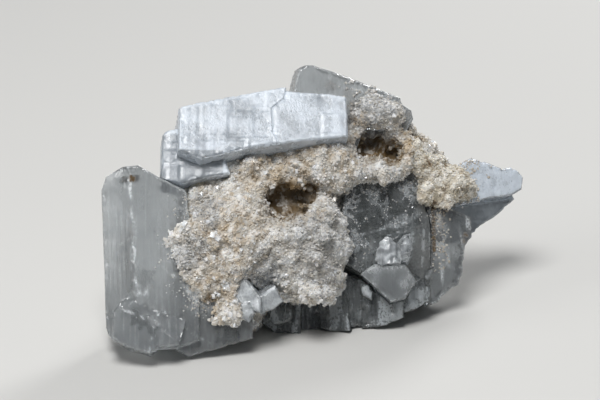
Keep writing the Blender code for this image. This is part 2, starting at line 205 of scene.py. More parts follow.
def gridded(bm, step=GRID):
    """Cuts a crystal's flats along its growth directions, so that they can carry low relief."""
    for axis in (RIGHT, UP, OUT):
        reach = [vert.co.dot(axis) for vert in bm.verts]
        lines = int((max(reach) - min(reach)) / (step * MM))
        for line in range(1, lines + 1):
            bmesh.ops.bisect_plane(bm, geom=bm.verts[:] + bm.edges[:] + bm.faces[:],
                                   dist=CUT_SLACK * MM, plane_no=axis,
                                   plane_co=axis * (min(reach) + line * step * MM))
    bm.normal_update()


def rim_distance(bm):
    """How far each point lies from the nearest sharp edge, in millimetres."""
    rim = [edge for edge in bm.edges if edge.calc_face_angle(0.0) > SHARP]
    tree = kdtree.KDTree(len(rim))
    for index, edge in enumerate(rim):
        tree.insert((edge.verts[0].co + edge.verts[1].co) / 2.0, index)
    tree.balance()
    return np.array([tree.find(vert.co)[2] for vert in bm.verts]) / MM


def growth_blocks(points, seed, count, longest, height):
    """Low rectangular terraces, with sides along the growth directions."""
    dice = random.Random(seed)
    low, high = points.min(axis=0), points.max(axis=0)
    rise = np.zeros(len(points))
    for _ in range(count):
        x, u = dice.uniform(low[0], high[0]), dice.uniform(low[1], high[1])
        half_x, half_u = dice.uniform(0.15, 0.5) * longest, dice.uniform(0.2, 0.5) * longest
        inside = np.minimum(half_x - np.abs(points[:, 0] - x), half_u - np.abs(points[:, 1] - u))
        rise += dice.uniform(-height, height) * smooth(inside / TERRACE_EDGE + 0.5)
    return rise


def blotches(points, places, tear=0.5, seed=0.0):
    """Patches with torn edges, each given as x, u, radius in millimetres and strength."""
    torn = tear * noise_at(points, TEAR, seed)
    total = np.zeros(len(points))
    for x, u, radius, strength in places:
        reach = np.hypot(points[:, 0] - x, points[:, 1] - u) / radius
        total = np.maximum(total, strength * smooth(1.5 - reach + torn))
    return total


def cracks(points, lines, width=0.28):
    """Frost along thin cracks, each as x and u of its two ends, in millimetres, and its strength."""
    total = np.zeros(len(points))
    for x_start, u_start, x_end, u_end, strength in lines:
        start, run = np.array([x_start, u_start]), np.array([x_end - x_start, u_end - u_start])
        share = np.clip((points[:, :2] - start) @ run / (run @ run), 0.0, 1.0)
        away = np.hypot(*(points[:, :2] - start - share[:, None] * run).T)
        total = np.maximum(total, strength * smooth(1.4 - away / width))
    return total


def clusters(points, seed):
    """Torn patches, with bare crystal between them, for crumbs that grow in groups."""
    return smooth(0.5 + 3.0 * noise_at(points, 1.1, seed) + 2.0 * noise_at(points, 3.0, seed + 0.5))


def frosted_round(frost, forward, points, amount):
    """Adds a thin, uneven frost to a crystal's edges and to the faces that look away."""
    uneven = 0.65 + 0.3 * noise_at(points, 4.0, 60) + 0.2 * noise_at(points, 1.1, 61)
    return np.maximum(frost, amount * (1.0 - forward) * np.clip(uneven, 0.0, 1.0))


def weathered(bm, seed, tip=0.0, lines=0.05, ripple=0.10, chips=0.45, chip_reach=1.3, blocks=0.0):
    """Moves a crystal's points in and out, for growth lines, ripples, chipped rims and terraces.

    Its broad face is tipped up by tip degrees. Returns the points in leaning millimetres, the
    share of each that faces forward with that face, and its distance from the rim.
    """
    points = leaning([vert.co for vert in bm.verts])
    normals = np.array([vert.normal for vert in bm.verts])
    facing = OUT * math.cos(math.radians(tip)) + UP * math.sin(math.radians(tip))
    forward = smooth((normals @ np.array(facing) - 0.4) / 0.35)
    rim = rim_distance(bm)
    along_u = noise_at(points, (0.55, 16.0, 0.8), seed)
    along_edge = noise_at(points, (9.0, 9.0, 0.7), seed + 1)
    move = lines * (forward * along_u + 2.0 * (1.0 - forward) * along_edge)
    move += ripple * (noise_at(points, 6.0, seed + 2) + 0.4 * noise_at(points, 1.7, seed + 3))
    if blocks:
        move += forward * growth_blocks(points, seed, TERRACES, TERRACE_LONGEST, blocks)
    bite = np.clip(noise_at(points, 1.5, seed + 4) + 0.5 * noise_at(points, 0.7, seed + 5), 0.0, 1.0)
    move -= chips * bite * np.clip(1.0 - rim / chip_reach, 0.0, 1.0)
    for vert, distance in zip(bm.verts, move):
        vert.co += vert.normal * float(distance) * MM
        vert.co.z = max(vert.co.z, 0.0)
    return points, forward, rim


def piece_from(bm, name, material, **amounts):
    """Makes the object, with one value for each point under each of the given names."""
    mesh = bpy.data.meshes.new(name)
    bm.to_mesh(mesh)
    bm.free()
    mesh.shade_smooth()
    mesh.set_sharp_from_angle(angle=SHARP)
    for key, values in amounts.items():
        mesh.attributes.new(key, "FLOAT", "POINT").data.foreach_set("value", values.astype(np.float32))
    mesh.materials.append(material)
    item = bpy.data.objects.new(name, mesh)
    bpy.context.scene.collection.objects.link(item)
    return item


def grown_noise(tree, across, along, detail=3.0, roughness=0.55):
    """Noise whose lumps are given in millimetres, across the growth direction and along it."""
    place = add(tree, "ShaderNodeTexCoord").outputs["Object"]
    upright = add(tree, "ShaderNodeMapping", {"Vector": place, "Rotation": (LEAN, 0.0, 0.0)})
    size = (1.0 / (across * MM), 1.0 / (across * MM), 1.0 / (along * MM))
    scaled = add(tree, "ShaderNodeMapping", {"Vector": upright.outputs[0], "Scale": size})
    return add(tree, "ShaderNodeTexNoise", {"Vector": scaled.outputs[0], "Scale": 1.0, "Detail": detail,
                                            "Roughness": roughness}).outputs["Fac"]


def crystal_barite(name, deep, veil, frost, clear, milky=0.4, absorbs="b9c0c4", density=30.0,
                   smoothest=0.08, roughest=0.5, lines=0.04, wisps=0.35, specks=0.35, thinnest=0.45):
    """Tabular barite: see-through but milky, clouded by veils, with frosted and stained places.

    The points' own values say where it is clouded with smoke, and where shade is painted on it in
    the same grey; where it carries frosting, and where highlights, glints and sheen are painted on it
    in the same white; and where it carries brown stains. The frosting's grains, about half a
    millimetre across, are coarser than real etching, which would be too fine to show.
    """
    material = bpy.data.materials.new(name)
    material.use_nodes = True
    tree = material.node_tree
    shader = tree.nodes["Principled BSDF"]
    smoky, frosted, stained = [add(tree, "ShaderNodeAttribute", attribute_name=key).outputs["Fac"]
                               for key in ("smoky", "frost", "stain")]
    veils = grown_noise(tree, 2.4, 11.0, detail=5.0, roughness=0.6)
    clouds = grown_noise(tree, 7.0, 9.0)
    grain = grown_noise(tree, 0.45, 0.6, roughness=0.7)
    streaks = grown_noise(tree, 0.32, 9.0, detail=2.0)

    eased = {"interpolation_type": "SMOOTHSTEP"}
    cloudy, wispy, specked, frost_grain, stain_grain = [
        add(tree, "ShaderNodeMapRange", {0: pattern, 1: low, 2: high, 3: least, 4: most},
            **eased).outputs[0]
        for pattern, low, high, least, most in (
            (clouds, 0.35, 0.65, 0.0, 1.0), (veils, 0.5, 0.75, 0.0, wisps),
            (grain, 0.6, 0.68, 0.0, specks), (grain, 0.32, 0.6, thinnest, 1.0),
            (grain, 0.35, 0.6, 0.0, 1.0))]
    white, brown = [
        add(tree, "ShaderNodeMath", {0: where, 1: pattern}, operation="MULTIPLY", use_clamp=True).outputs[0]
        for where, pattern in ((frosted, frost_grain), (stained, stain_grain))]
    body = linear(deep)
    for share, colour in ((cloudy, veil), (wispy, veil), (smoky, SMOKE_AND_SHADE_GREY), (specked, frost),
                          (white, frost), (brown, IRON_BROWN)):
        body = add(tree, "ShaderNodeMix", {0: share, 6: body, 7: linear(colour)},
                   data_type="RGBA").outputs[2]
    tree.links.new(body, shader.inputs["Base Color"])

    glassy = add(tree, "ShaderNodeMapRange", {0: clouds, 1: 0.3, 2: 0.7, 3: smoothest,
                                              4: smoothest + CLOUD_ROUGHNESS}, **eased)
    rough = add(tree, "ShaderNodeMix", {0: white, 2: glassy.outputs[0], 3: roughest})
    tree.links.new(rough.outputs[0], shader.inputs["Roughness"])
    opaque = add(tree, "ShaderNodeMath", {0: white, 1: brown}, operation="MAXIMUM")
    through = add(tree, "ShaderNodeMapRange", {0: opaque.outputs[0], 1: 0.0, 2: 0.8, 3: clear,
                                               4: THROUGH_FROST}, **eased)
    tree.links.new(through.outputs[0], shader.inputs["Transmission Weight"])
    shader.inputs["IOR"].default_value = IOR_BARITE
    shader.inputs["Subsurface Weight"].default_value = milky
    shader.inputs["Subsurface Radius"].default_value = (1.0, 1.0, 1.0)
    shader.inputs["Subsurface Scale"].default_value = MILK_DEPTH * MM

    height = add(tree, "ShaderNodeMath", {0: streaks, 1: lines}, operation="MULTIPLY")
    sparkle = add(tree, "ShaderNodeMath", {0: grain, 1: white}, operation="MULTIPLY")
    height = add(tree, "ShaderNodeMath", {0: sparkle.outputs[0], 1: SPARKLE, 2: height.outputs[0]},
                 operation="MULTIPLY_ADD")
    bump = add(tree, "ShaderNodeBump", {"Height": height.outputs[0], "Strength": 1.0, "Distance": MM})
    tree.links.new(bump.outputs[0], shader.inputs["Normal"])

    depth = add(tree, "ShaderNodeVolumeAbsorption", {"Color": linear(absorbs), "Density": density})
    output = tree.nodes["Material Output"]
    tree.links.new(depth.outputs[0], output.inputs["Volume"])
    return material


# Clear grey barite as it grew: glassy faces over a cloudy body, so that it looks like old ice.
clear_grey = crystal_barite("clear_grey_barite", "bfc3c5", "d6dadc", "e8ecef", clear=0.8, milky=0.5)
bm = copied("left_slab")
gridded(bm)
points, forward, rim = weathered(bm, seed=1)
along = (points[:, 1] - RIDGE_FOOT[1]) / (RIDGE_TOP[1] - RIDGE_FOOT[1])
ridge_x = RIDGE_FOOT[0] + along * (RIDGE_TOP[0] - RIDGE_FOOT[0])
# The white line along the ridge is a painted highlight, where the ridge catches the light.
wander = 0.35 * noise_at(points, (40.0, 1.5, 9.0), 2)
ridge_highlight = smooth(1.3 - np.abs(points[:, 0] - ridge_x - wander) / 0.45)
ridge_highlight *= smooth(0.5 + 1.8 * noise_at(points, (2.0, 3.0, 9.0), 3))
ridge_highlight *= smooth((points[:, 1] - RIDGE_HIGHLIGHT_FOOT) / 4.0)
frost = np.maximum(0.7 * ridge_highlight * forward,
                   0.35 * smooth(0.7 - rim) * smooth(noise_at(points, 1.0, 8) * 2.0))
frost = np.maximum(frost, 0.16 * smooth(2.0 * noise_at(points, (0.5, 9.0, 3.0), 4)) * forward)
fringe = blotches(points, [(-37.8, 15.6, 1.0, 0.6), (-36.2, 15.2, 0.7, 0.5)], tear=1.3, seed=9)
# Two small glints painted on as white frost, where tiny faces catch the light.
painted_glints = blotches(points, [(-32.0, 11.2, 0.5, 0.8), (-33.4, 10.6, 0.4, 0.7)], tear=0.9, seed=11)
cracked = cracks(points, [(-40.6, 11.7, -32.5, 8.2, 0.4), (-38.6, 14.5, -40.6, 11.7, 0.35),
                          (-34.0, 9.3, -35.3, 2.0, 0.35), (-28.5, 8.2, -22.0, 4.0, 0.3),
                          (-44.5, 24.6, -38.4, 27.6, 0.2)], width=0.4)
cracked *= smooth(0.35 + 1.6 * noise_at(points, 1.3, 16))
frost = np.maximum(frost, np.maximum(np.maximum(fringe, painted_glints), cracked) * forward)
smoky = blotches(points, [(-37.9, 9.9, 1.5, 0.5), (-36.2, 8.9, 1.5, 0.5), (-34.5, 7.6, 1.2, 0.45),
                          (-36.3, 18.6, 1.8, 0.35), (-17.5, 5.5, 2.5, 0.4)], tear=1.1, seed=17)
crust = smooth((points[:, 0] - CRUST_LEFT + 4.0 * noise_at(points, 3.0, 6)) / 7.0)
crust = np.maximum(crust, blotches(points, [(-31.5, 27.0, 2.2, 0.6)], tear=0.9, seed=7))
near = smooth((points[:, 0] - THICK_CRUST_LEFT + 2.0 * noise_at(points, 2.0, 5)) / 3.0)
crust *= forward * smooth((points[:, 1] - 8.0) / 6.0) * np.maximum(clusters(points, 10), near)
pit = 3.0 * smooth(1.9 - np.hypot(points[:, 0] - PIT[0], points[:, 1] - PIT[1]) / PIT_EDGE)
frost = frosted_round(frost, forward, points, 0.3)
# Its deep values paint shade, as beige, on the crumbs that stand on it.
left_slab = piece_from(bm, "left_slab_crystal", clear_grey, frost=np.maximum(frost, 0.5 * crust),
                       stain=pit, smoky=smoky, crust=crust, grey=0.5 * forward, deep=0.3 * forward,
                       warm=0.5 * near)
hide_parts("left_slab")
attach(left_slab, "root")

# The upper slab: the brightest crystal, grown along the top of the matrix, with a main plate, a
# thinner one at its right and a step at its left. Its broad face is low terraces under frost, its
# other faces have a thinner frost, and its right end is chipped.

STEP_CORNER = (-28.9, 50.5)     # leaning mm: the step is left of and below these two corners
LOW_STEP_CORNER = (-19.2, 47.1)

# Frosted white barite: fine etching gives its faces a bluish white, satin look.
frosted_white = crystal_barite("frosted_white_barite", "b0b7be", "c3cad1", "dde5ee", clear=0.65,
                               roughest=0.38, smoothest=0.1, wisps=0.2, specks=0.2, lines=0.012,
                               thinnest=0.75)
bm = copied("upper_slab")
gridded(bm)
points, forward, rim = weathered(bm, seed=12, tip=24.0, blocks=0.16, lines=0.0, chips=0.5)
mosaic = growth_blocks(points, 31, 40, 11.0, 0.13)
frost = 0.55 + 0.25 * noise_at(points, 4.0, 5) + 0.12 * noise_at(points, 0.9, 14)
# The step at the left is painted in shade: it gets less frost and some smoky grey.
shaded_step = np.zeros(len(points))
for step_x, step_u in (STEP_CORNER, LOW_STEP_CORNER):
    shaded_step = np.maximum(shaded_step, smooth((step_x - points[:, 0]) / 0.4)
                           * smooth((step_u - points[:, 1]) / 0.4))
frost += (mosaic + 0.2 * smooth((0.8 - rim) / 0.8)) * (1.0 - shaded_step)
frost = np.clip(frost, 0.0, 1.0) * forward * (1.0 - 0.5 * shaded_step)
chipped = blotches(points, [(8.0, 57.0, 1.2, 0.3), (8.6, 53.0, 1.0, 0.4), (7.6, 49.0, 1.0, 0.3)],
                   tear=0.9)
frost = frosted_round(frost, forward, points, 0.8)
upper_slab = piece_from(bm, "upper_slab_crystal", frosted_white, frost=frost, stain=chipped,
                        smoky=0.15 * shaded_step)
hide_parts("upper_slab")
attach(upper_slab, "root")

# The back crystal: a tall plate of the same grey barite, rooted in the matrix behind the bright
# slab, with brownish clouds near its top and the crust growing over its right half.

CRUST_START = 5.0               # leaning mm, where the crumbs start and end along x
CRUST_END = 20.5

bm = copied("back_crystal")
gridded(bm)
points, forward, rim = weathered(bm, seed=21)
clouds = blotches(points, [(4.8, 61.6, 1.2, 0.5), (9.0, 59.5, 1.4, 0.4), (12.0, 58.0, 1.6, 0.5),
                           (21.5, 53.6, 1.8, 0.6), (9.4, 57.6, 1.3, 0.7), (9.3, 54.6, 1.3, 0.8)],
                  tear=0.9)
frost = 0.5 * forward * smooth(1.2 * noise_at(points, (1.5, 5.0, 3.0), 24))
crust = forward * smooth((points[:, 0] - CRUST_START + 2.5 * noise_at(points, 2.5, 25)) / 5.0)
crust *= smooth(CRUST_END - points[:, 0]) * clusters(points, 26)
frost = frosted_round(frost, forward, points, 0.3)
# Its deep values paint shade, as beige, on the crumbs that stand on it.
back_crystal = piece_from(bm, "back_crystal_plate", clear_grey, frost=np.maximum(frost, 0.4 * crust),
                          stain=clouds, crust=crust, grey=0.7 * forward, deep=0.4 * forward)
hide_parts("back_crystal")
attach(back_crystal, "root")

# The grey crystal: a dark block of barite sunk into the matrix, with a slanting ridge across it,
# a pearly sheen painted along the ridge as whiter frost, frost along its cracks and crumbs of the
# crust over its top.

RIDGE_PASSES = (8.0, 23.5)      # leaning mm
RIDGE_SLOPE = 0.58
BRIGHT_SIDE = 24.0              # leaning mm, where the lighter right side begins
CRUST_FOOT = 30.0               # leaning mm, how low the crumbs reach
CRUST_SIDE = 14.0               # leaning mm, how far in they come from the left

# Dark glassy barite: it takes more of the light on the way through, under a glassy face.
dark_glassy = crystal_barite("dark_glassy_barite", "7b8080", "a6abac", "d2d8dd", clear=0.75,
                             absorbs="98a09d", density=45.0, lines=0.02, wisps=0.45, specks=0.7)
bm = copied("grey_crystal")
gridded(bm)
points, forward, rim = weathered(bm, seed=32, tip=12.0, blocks=0.12)
ridge_line = RIDGE_PASSES[1] + (points[:, 0] - RIDGE_PASSES[0]) * RIDGE_SLOPE
# A pearly sheen painted along the ridge as whiter frost: a painted highlight.
painted_sheen = smooth(1.4 - np.abs(points[:, 1] - ridge_line) / 1.8) * smooth(0.5 + noise_at(points, 2.4, 33))
broken = blotches(points, [(22.8, 27.0, 1.2, 0.5), (10.0, 25.0, 1.5, 0.4)], tear=1.2, seed=34)
below = smooth((ridge_line - points[:, 1]) / 3.0)
right_side = smooth(points[:, 0] - BRIGHT_SIDE)
cracked = cracks(points, [(7.4, 26.6, 23.5, 31.2, 0.6), (9.0, 24.2, 20.0, 28.6, 0.5),
                          (10.5, 33.0, 17.0, 34.8, 0.3), (25.6, 20.5, 25.9, 31.0, 0.8),
                          (27.3, 21.5, 27.2, 30.0, 0.7), (12.0, 27.5, 15.5, 22.5, 0.35)])
cracked *= smooth(0.6 + 1.5 * noise_at(points, 1.2, 39))
frost = np.maximum(np.maximum(0.45 * painted_sheen, broken), np.maximum(0.25 * below, 0.3 * right_side))
frost = np.maximum(frost, cracked) * forward
crust = smooth((points[:, 1] - CRUST_FOOT - 5.0 * noise_at(points, 4.0, 35)) / 9.0)
crust = np.maximum(crust, smooth((CRUST_SIDE - points[:, 0] + 3.0 * noise_at(points, 3.0, 37)) / 5.0))
crust *= forward * smooth(0.15 + clusters(points, 38))
frost = frosted_round(frost, forward, points, 0.15)
# Its deep values paint shade, as beige, on the crumbs that stand on it.
grey_crystal = piece_from(bm, "grey_crystal_block", dark_glassy, frost=np.maximum(frost, 0.4 * crust),
                          stain=0.25 * right_side, crust=crust, grey=1.2 * forward, deep=0.6 * forward)
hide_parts("grey_crystal")
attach(grey_crystal, "root")

# The right slab: an upright plate of the clear grey barite, grown in the matrix behind the dark
# crystal, with frost along its rim, a brown seam and beige crumbs on its upper part.

CRUMBS_FOOT = 17.0              # leaning mm, where the crumbs begin up the slab and end along x
CRUMBS_END = 33.0

bm = copied("right_slab")
gridded(bm)
points, forward, rim = weathered(bm, seed=41, chips=0.6)
frost = 0.45 * smooth(1.0 - rim / 0.9) * smooth(0.5 + 2.0 * noise_at(points, 1.5, 44))
frost = np.maximum(frost, 0.5 * forward * smooth(1.5 * noise_at(points, (1.2, 5.0, 3.0), 42)))
crust = smooth((points[:, 1] - CRUMBS_FOOT) / 9.0) * smooth((CRUMBS_END - points[:, 0]) / 3.0)
crust *= forward * smooth(0.3 + clusters(points, 43))
hole = blotches(points, [(35.6, 27.6, 0.7, 1.0), (35.4, 26.4, 0.6, 1.0)], tear=0.3)
seam = cracks(points, [(28.1, 34.6, 28.3, 24.4, 1.5), (30.6, 33.4, 29.6, 27.0, 0.5)], width=0.5)
frost = frosted_round(frost, forward, points, 0.3)
# Its deep values paint shade, as beige, on the crumbs that stand on it.
right_slab = piece_from(bm, "right_slab_crystal", clear_grey, frost=np.maximum(frost, 0.35 * crust),
                        stain=np.maximum(hole, seam), smoky=np.full(len(points), 0.3), crust=crust,
                        grey=0.2 * forward, deep=0.6 * forward, warm=0.5 * forward)
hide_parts("right_slab")
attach(right_slab, "root")

# The right point: two thin plates of the frosted barite, rooted under the cream crust, whose
# tips end the specimen at the right, bluish white at the tip, with shade painted grey on the plate
# underneath.

LOWER_PLATE = (37.0, 35.0)      # leaning mm, a point on the edge where the lower plate shows
LOWER_SLOPE = 0.12
POINT_CRUST_END = 42.0          # leaning mm, along x, and where crumbs top the plate
POINT_CRUST_TOP = 42.0
THICK_POINT_CRUST = 40.0

bm = copied("right_point")
gridded(bm)
points, forward, rim = weathered(bm, seed=51, tip=14.0, chips=0.6, blocks=0.06)
# The lower plate is painted in shade: little frost and a smoky grey, and no crumbs.
lower_edge = LOWER_PLATE[1] + LOWER_SLOPE * (points[:, 0] - LOWER_PLATE[0])
under = smooth((lower_edge - points[:, 1]) / 0.8)
frost = np.clip(forward * (0.75 + 0.3 * noise_at(points, 2.0, 52)), 0.0, 1.0) * (1.0 - 0.85 * under)
crust = np.maximum(smooth((POINT_CRUST_END - points[:, 0]) / 6.0),
                   smooth((points[:, 1] - POINT_CRUST_TOP) / 2.0))
thick = smooth((THICK_POINT_CRUST - points[:, 0]) / 3.0)
crust *= forward * np.maximum(clusters(points, 53), thick) * (1.0 - under)
frost = frosted_round(frost, forward, points, 0.5)
# Its deep values paint shade, as beige, on the crumbs that stand on it.
right_point = piece_from(bm, "right_point_plates", frosted_white, frost=frost, crust=crust,
                         grey=0.2 * forward, deep=0.3 * forward, warm=0.7 * forward, smoky=0.6 * under)
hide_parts("right_point")
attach(right_point, "root")

# The front block: a smooth tablet of the clear grey barite that juts out low at the right,
# grown on the base row, with a little frost on its face and along its rim.

SMALL_GRID = 0.3                # mm, for the smaller crystals

bm = copied("front_block")
gridded(bm, step=SMALL_GRID)
points, forward, rim = weathered(bm, seed=61, chips=0.4, ripple=0.08, lines=0.02)
frost = np.maximum(0.4 * smooth(0.8 - rim) * smooth(0.5 + 2.0 * noise_at(points, 1.2, 62)),
                   0.35 * forward * smooth(0.5 + noise_at(points, 3.0, 63)))
frost = frosted_round(frost, forward, points, 0.3)
front_block = piece_from(bm, "front_block_crystal", clear_grey, frost=frost)
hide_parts("front_block")
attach(front_block, "root")

# The pale cap: three broken, whitish shards of barite that grew just above the front block, with
# stepped faces and chipped rims.

# Pale broken barite: fresh breaks, glassy to pearly, that scatter the light and look whitish.
pale_broken = crystal_barite("pale_broken_barite", "b9bec2", "cfd4d7", "e4e8eb", clear=0.7,
                             roughest=0.35, lines=0.03, thinnest=0.7)
bm = copied("pale_cap")
gridded(bm, step=SMALL_GRID)
points, forward, rim = weathered(bm, seed=71, chips=0.8, ripple=0.25, lines=0.05, blocks=0.3)
frost = forward * (0.35 + 0.5 * noise_at(points, 1.2, 72))
frost = frosted_round(frost, forward, points, 0.5)
pale_cap = piece_from(bm, "pale_cap_crystals", pale_broken, frost=frost)
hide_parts("pale_cap")
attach(pale_cap, "root")

# The front wedge: a pale wedge of the same broken barite, low in the middle, with a striated
# block and a small one grown against it, all rooted in the foot of the matrix.

bm = copied("front_wedge")
gridded(bm, step=SMALL_GRID)
points, forward, rim = weathered(bm, seed=75, chips=0.5, ripple=0.08, blocks=0.12)
frost = np.maximum(forward * (0.4 + 0.3 * noise_at(points, 2.0, 77)),
                   0.5 * smooth(0.9 - rim) * smooth(0.5 + 2.0 * noise_at(points, 1.0, 76)))
frost = frosted_round(frost, forward, points, 0.5)
front_wedge = piece_from(bm, "front_wedge_crystals", pale_broken, frost=frost)
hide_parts("front_wedge")
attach(front_wedge, "root")

# The base crystals: a row of blocks of the dark glassy barite, grown side by side, that carries
# the front of the specimen. They are clouded in upright bands and torn along their lower edges.

bm = copied("base_crystals")
gridded(bm)
points, forward, rim = weathered(bm, seed=81, chips=0.7, ripple=0.25, lines=0.08)
bands = 0.5 * smooth(0.4 + 2.5 * noise_at(points, (3.0, 12.0, 9.0), 84))
frost = forward * np.maximum(bands + 0.3 * smooth(1.5 * noise_at(points, (0.5, 3.0, 2.0), 82) + 0.1),
                             0.35 * smooth(0.8 - rim) * smooth(0.5 + 2.0 * noise_at(points, 1.0, 83)))
frost = frosted_round(frost, forward, points, 0.12)
smoky = 0.5 * smooth(0.3 + 2.5 * noise_at(points, (2.5, 9.0, 9.0), 85))
base_crystals = piece_from(bm, "base_crystal_row", dark_glassy, frost=frost, smoky=smoky)
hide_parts("base_crystals")
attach(base_crystals, "root")

# The matrix: a lumpy mass of barite that all the crystals are rooted in. Its skin grew as druse
# in rounded clumps, white and beige, with tan and brown stains; brown and beige shade is painted
# into its hollows and between its clumps.

MELT = 0.42                     # mm, between the points of the skin
CLUMP = 3.2                     # mm across, and the smaller ones that these carry
SMALL_CLUMP = 1.4
GROUNDED = 0.3                  # mm, below which the skin lies on the ground
BARE_FOOT = 0.8                 # mm, below which no loose crystals stand
BACK = -30.0                    # leaning mm, where the hidden back begins
HOLLOW_BACK = -26.0             # leaning mm, how deep the hollows reach
SUGAR_DEPTH = 1.2               # mm, how far light wanders in the small crystals
DRUSE_RELIEF = 0.15             # mm, the height of the roughness on their faces


def melted(node, voxel):
    """A CAD node's lumps as an even skin of small quads."""
    mesh = bpy.data.meshes.new("lumps")
    bm = copied(node)
    bm.to_mesh(mesh)
    bm.free()
    body = bpy.data.objects.new("lumps", mesh)
    bpy.context.scene.collection.objects.link(body)
    skin = body.modifiers.new("melt", "REMESH")
    skin.mode = "VOXEL"
    skin.voxel_size = voxel * MM
    bpy.context.view_layer.update()
    result = bpy.data.meshes.new_from_object(body.evaluated_get(bpy.context.evaluated_depsgraph_get()))
    bpy.data.objects.remove(body)
    bm = bmesh.new()
    bm.from_mesh(result)
    bm.normal_update()
    return bm


def valleys(points, clump, seed):
    """How far each point lies from the middle of its clump, from 0 to about 1."""
    wander = np.stack([noise_at(points, 0.8 * clump, seed + k) for k in range(3)], axis=1)
    return np.array([noise.voronoi(Vector(point))[0][0] for point in points / clump + 0.25 * wander])


def clumped(bm, swell, seed, raised=None):
    """Swells the skin into rounded clumps that carry smaller ones, and raises it as asked.

    Returns the points in leaning millimetres and how deep each lies between the clumps.
    """
    points = leaning([vert.co for vert in bm.verts])
    broad, small = valleys(points, CLUMP, seed), valleys(points, SMALL_CLUMP, seed + 3)
    move = swell * (0.75 - broad) + 0.6 * swell * (0.6 - small) + 0.8 * noise_at(points, 7.0, seed + 4)
    move += 0.12 * noise_at(points, 0.7, seed + 6)
    if raised is not None:
        move += raised(points)
    valley = 0.5 * (broad + small)
    for vert, distance in zip(bm.verts, move):
        grounded = vert.co.z < GROUNDED * MM
        vert.co += vert.normal * float(distance) * MM
        vert.co.z = 0.0 if grounded else max(vert.co.z, 0.0)
    return points, valley


def sugary_barite(name, white, beige, tan, brown, grey, smoothest=0.18, roughest=0.55):
    """Sugar-like druse: tiny crystals from white to tan, brown where iron has stained it.

    The points' own values say how deep they lie, which paints shade on them as beige, and where
    they are warm, stained and grey; the brown is iron staining in places and painted shade in the
    hollows and between the clumps. A small crystal's tone sets its own shade. The brightest few are
    the smoothest.
    """
    material = bpy.data.materials.new(name)
    material.use_nodes = True
    tree = material.node_tree
    shader = tree.nodes["Principled BSDF"]
    tone, deep, warm, stained, greyed = [
        add(tree, "ShaderNodeAttribute", attribute_name=key).outputs["Fac"]
        for key in ("tone", "deep", "warm", "stain", "grey")]
    mottle = grown_noise(tree, 2.2, 2.2, detail=4.0, roughness=0.65)
    fine = grown_noise(tree, 0.6, 0.6, roughness=0.7)
    eased = {"interpolation_type": "SMOOTHSTEP"}

    shaded = add(tree, "ShaderNodeMath", {0: tone, 1: 0.5, 2: deep}, operation="MULTIPLY_ADD")
    duller = add(tree, "ShaderNodeMapRange", {0: shaded.outputs[0], 1: 0.25, 2: 1.1}, **eased)
    colour = add(tree, "ShaderNodeMix", {0: duller.outputs[0], 6: linear(white), 7: linear(beige)},
                 data_type="RGBA").outputs[2]
    for where, pattern, low, high, shade in ((warm, mottle, 0.35, 0.62, tan),
                                             (stained, mottle, 0.3, 0.6, brown),
                                             (greyed, fine, 0.3, 0.6, grey)):
        patches = add(tree, "ShaderNodeMapRange", {0: pattern, 1: low, 2: high}, **eased)
        share = add(tree, "ShaderNodeMath", {0: where, 1: patches.outputs[0]},
                    operation="MULTIPLY", use_clamp=True)
        colour = add(tree, "ShaderNodeMix", {0: share.outputs[0], 6: colour, 7: linear(shade)},
                     data_type="RGBA").outputs[2]
    tree.links.new(colour, shader.inputs["Base Color"])

    rough = add(tree, "ShaderNodeMapRange", {0: tone, 1: 0.75, 2: 0.95, 3: roughest, 4: smoothest}, **eased)
    tree.links.new(rough.outputs[0], shader.inputs["Roughness"])
    shader.inputs["IOR"].default_value = IOR_BARITE
    shader.inputs["Transmission Weight"].default_value = 0.1
    shader.inputs["Subsurface Weight"].default_value = 0.5
    shader.inputs["Subsurface Radius"].default_value = (1.0, 0.9, 0.75)
    shader.inputs["Subsurface Scale"].default_value = SUGAR_DEPTH * MM
    bump = add(tree, "ShaderNodeBump", {"Height": fine, "Strength": 0.6, "Distance": DRUSE_RELIEF * MM})
    tree.links.new(bump.outputs[0], shader.inputs["Normal"])
    return material


def hollows(points):
    """The large hollow, the cave beside the bright slab and the slit under the dark crystal."""
    middles = [(-5.2, 35.4, 4.4, 1.0), (-0.8, 37.4, 2.4, 1.0), (14.2, 48.4, 3.6, 1.0),
               (18.2, 46.8, 2.8, 0.9), (9.6, 20.0, 1.8, 1.0)]
    shallow = smooth((points[:, 2] - HOLLOW_BACK) / 3.0)
    return blotches(points, middles, tear=0.25, seed=97) * shallow


def ledges(points):
    """Where the skin rises to the bright slab, and where it sinks into its hollows, in mm."""
    rises = blotches(points, [(-25.5, 39.5, 3.0, 1.2), (-22.0, 42.0, 3.0, 1.2), (-17.0, 43.8, 3.0, 1.0),
                              (-12.2, 45.0, 3.0, 1.0), (-5.6, 45.7, 3.0, 1.0), (1.1, 46.4, 3.0, 1.0),
                              (6.6, 46.8, 2.5, 1.0), (-16.5, 29.5, 2.0, 0.8), (-13.0, 32.0, 2.0, 0.8)],
                     tear=0.6, seed=98)
    broad = 0.9 * noise_at(points, 5.0, 99) + 0.5 * noise_at(points, 2.2, 100)
    behind = smooth((BACK - points[:, 2]) / 6.0)
    return 1.2 * rises + broad - 0.8 * behind - hollows(points)


